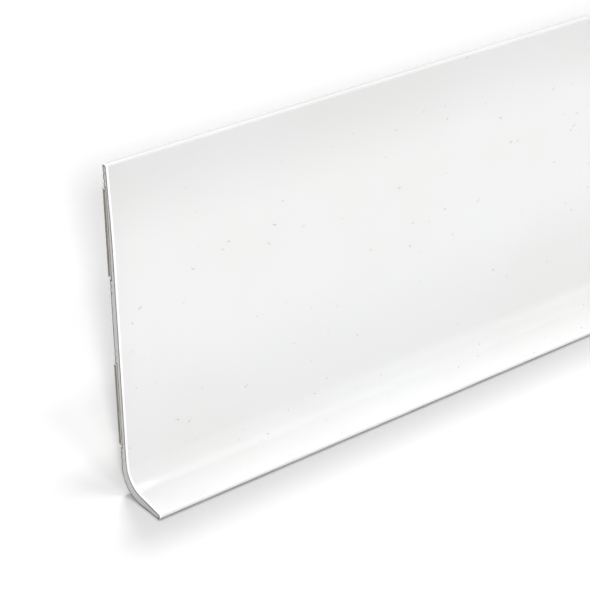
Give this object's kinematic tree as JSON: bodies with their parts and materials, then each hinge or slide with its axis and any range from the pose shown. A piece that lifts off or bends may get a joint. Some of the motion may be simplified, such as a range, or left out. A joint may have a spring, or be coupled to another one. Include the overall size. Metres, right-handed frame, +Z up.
{
  "type": "vinyl cove base strip",
  "caption": "Flexible white strip with a tall flat leg and a small coved toe, stuck to the foot of a wall by foam tapes with peel-off liners.",
  "frame": {"origin": "the corner where the wall meets the floor, at the middle of the strip's length", "axes": "+X along the strip, +Y out of the back into the wall, +Z up the wall"},
  "size_m": [1.2192, 0.0194, 0.1016],
  "materials": {
    "vinyl": "satin extruded flexible vinyl",
    "foam": "closed-cell polyethylene foam",
    "adhesive": "tacky clear acrylic",
    "liner_paper": "glassine paper with a silicone release face"
  },
  "bodies": {
    "strip": {"wall_leg": "vinyl", "upper_bond_coat": "adhesive", "upper_foam": "foam", "upper_wall_coat": "adhesive", "lower_bond_coat": "adhesive", "lower_foam": "foam", "lower_wall_coat": "adhesive"},
    "toe": {"toe": "vinyl"},
    "upper_liner": {"upper_liner": "liner_paper"},
    "lower_liner": {"lower_liner": "liner_paper"},
    "upper_liner_end": {"upper_liner_end": "liner_paper"},
    "lower_liner_end": {"lower_liner_end": "liner_paper"}
  },
  "joints": [
    {"name": "toe_flex", "type": "hinge", "parent": "strip", "child": "toe", "pos_m": [0, -0.003, 0.01043], "axis": [-1, 0, 0], "range_deg": [0, 10], "stiffness_Nm_per_rad": 8},
    {"name": "upper_liner_peel", "type": "slide", "parent": "strip", "child": "upper_liner", "axis": [0, 1, 0], "range_m": [0, 0.05]},
    {"name": "lower_liner_peel", "type": "slide", "parent": "strip", "child": "lower_liner", "axis": [0, 1, 0], "range_m": [0, 0.05]},
    {"name": "upper_liner_fold", "type": "hinge", "parent": "upper_liner", "child": "upper_liner_end", "pos_m": [0.5396, 0.00038, 0.0814], "axis": [0, 0, 1], "range_deg": [0, 150]},
    {"name": "lower_liner_fold", "type": "hinge", "parent": "lower_liner", "child": "lower_liner_end", "pos_m": [0.5396, 0.00038, 0.0287], "axis": [0, 0, 1], "range_deg": [0, 150]}
  ]
}
